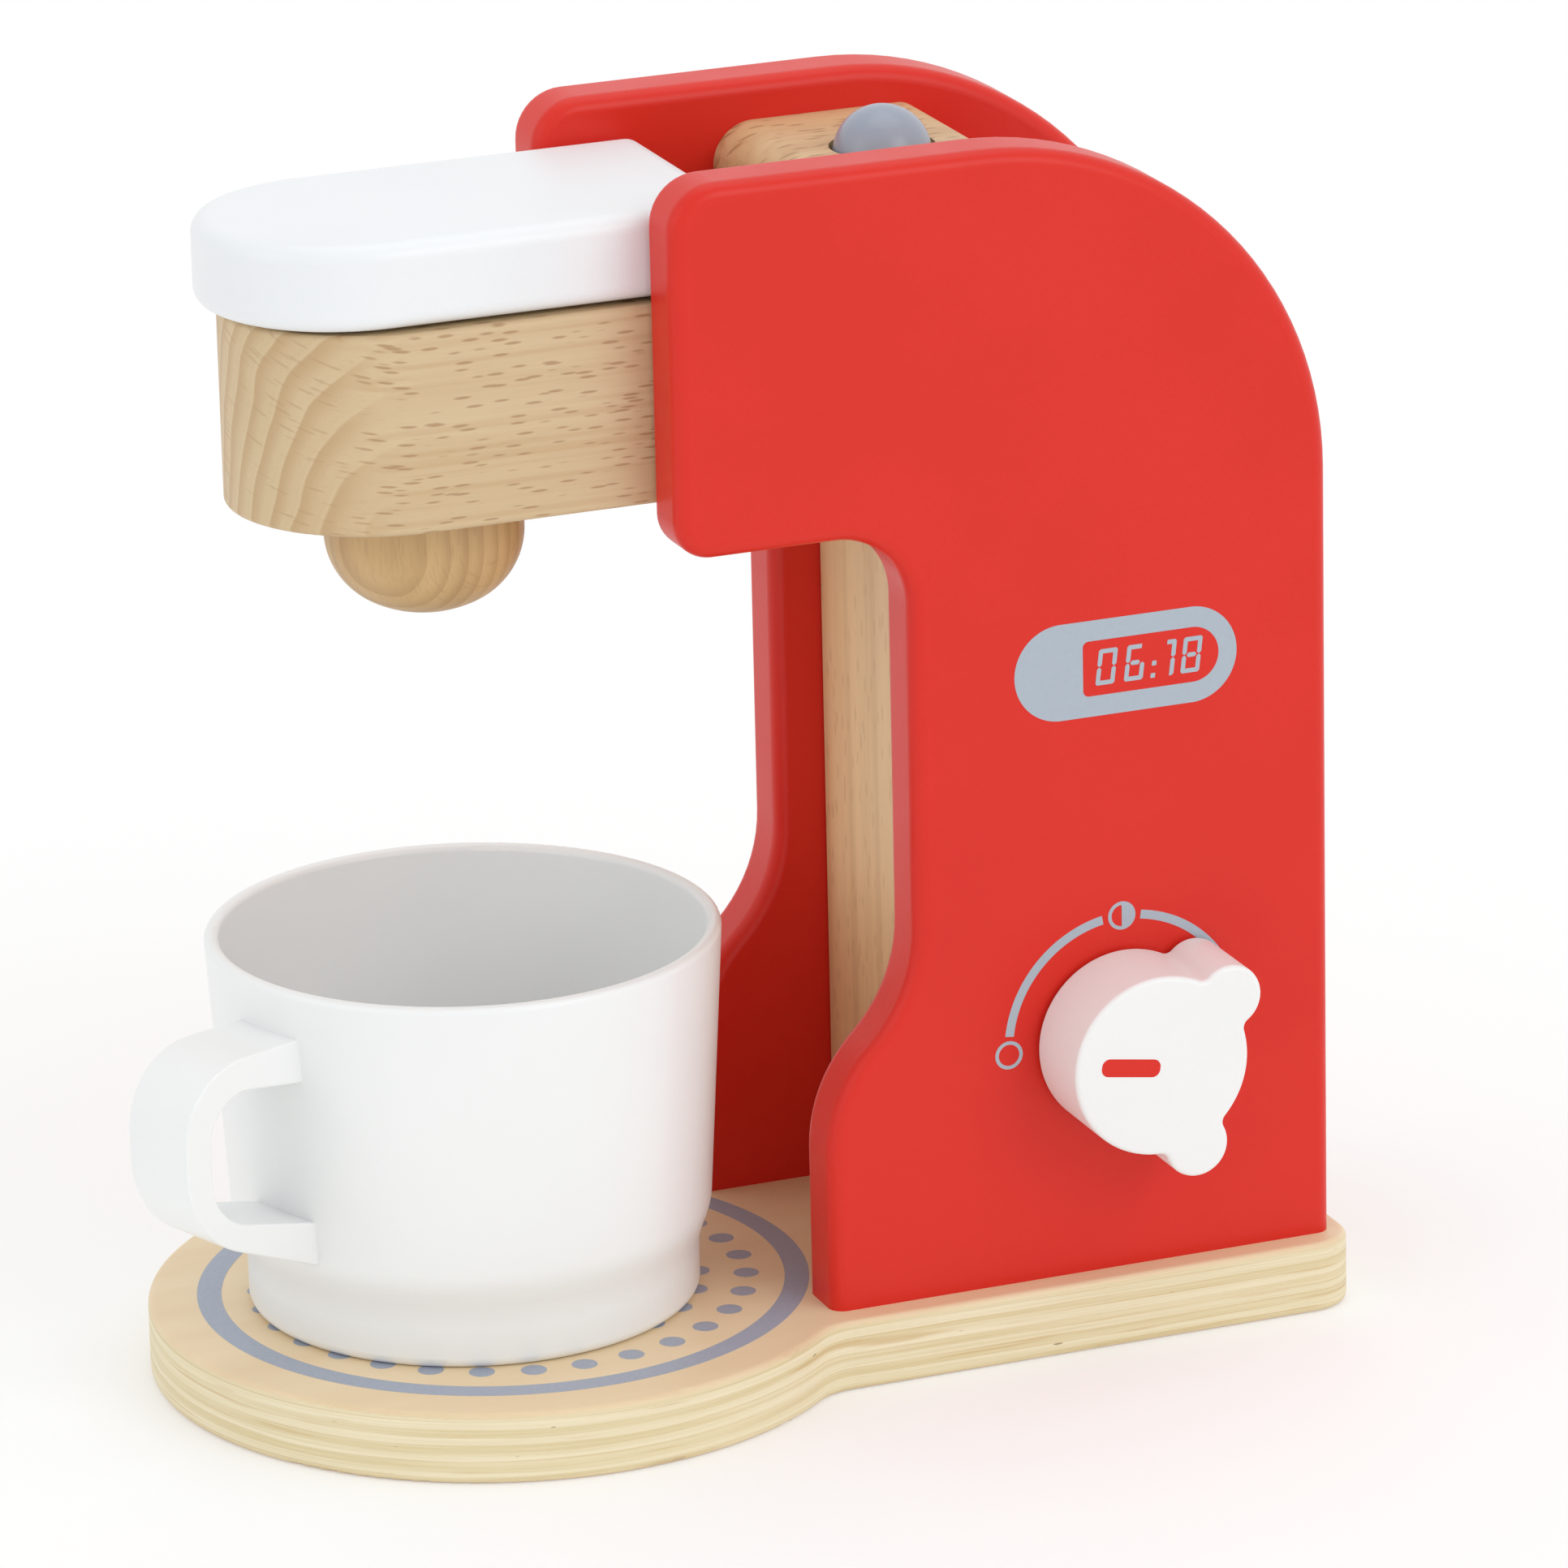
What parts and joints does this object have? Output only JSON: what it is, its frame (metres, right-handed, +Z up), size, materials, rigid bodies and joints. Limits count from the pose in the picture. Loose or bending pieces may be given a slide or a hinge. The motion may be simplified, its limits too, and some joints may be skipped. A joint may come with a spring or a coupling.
{
  "type": "toy coffee maker",
  "caption": "Wooden play coffee maker: two painted side panels on a plywood base, hinged lid, turned spout, turning knob, press button and a loose cup.",
  "frame": {"origin": "on the underside of the base, below the centre of its round front", "axes": "+Z up; the front, with cup and spout, towards -Y; the side panel with the knob and the display at +X"},
  "size_m": [0.116, 0.2028, 0.202],
  "materials": {
    "plywood": "lacquered birch plywood, visible plies, printed top",
    "red_paint": "satin red lacquer on board",
    "beech": "clear-lacquered beech",
    "beech_turned": "clear-lacquered turned beech",
    "white_paint": "satin white lacquer",
    "knob_paint": "satin white lacquer with a red pointer",
    "grey_button": "matt blue-grey lacquer",
    "cup_plastic": "smooth off-white melamine-like plastic",
    "steel": "zinc-plated steel",
    "nylon": "natural nylon"
  },
  "bodies": {
    "frame": {"base_plate": "plywood", "right_side_panel": "red_paint", "left_side_panel": "red_paint", "head_block": "beech", "spout_nozzle": "beech_turned", "top_block": "beech", "column_board": "beech", "button_spring": "steel", "spring_plug": "beech_turned", "head_dowels": "beech_turned", "top_block_dowels": "beech_turned", "column_dowels": "beech_turned", "base_screws": "steel"},
    "lid": {"lid": "white_paint", "lid_hinge_pins": "steel"},
    "button": {"button": "grey_button"},
    "knob": {"knob": "knob_paint", "knob_spindle": "beech_turned", "knob_washer": "nylon", "keeper_washer": "steel", "knob_screw": "steel"},
    "cup": {"cup": "cup_plastic"}
  },
  "joints": [
    {"name": "lid_hinge", "type": "hinge", "parent": "frame", "child": "lid", "pos_m": [0, 0.031, 0.1884], "axis": [-1, 0, 0], "range_deg": [0, 98]},
    {"name": "button_press", "type": "slide", "parent": "frame", "child": "button", "axis": [0, 0, -1], "range_m": [0, 0.0045], "stiffness_N_per_m": 300, "springref_m": -0.002, "deforming": ["button_spring"]},
    {"name": "knob_turn", "type": "hinge", "parent": "frame", "child": "knob", "pos_m": [0.036, 0.095, 0.0519], "axis": [-1, 0, 0], "range_deg": [-14, 166]},
    {"name": "cup_slide", "type": "slide", "parent": "frame", "child": "cup", "axis": [0, -1, 0], "range_m": [0, 0.13]}
  ]
}
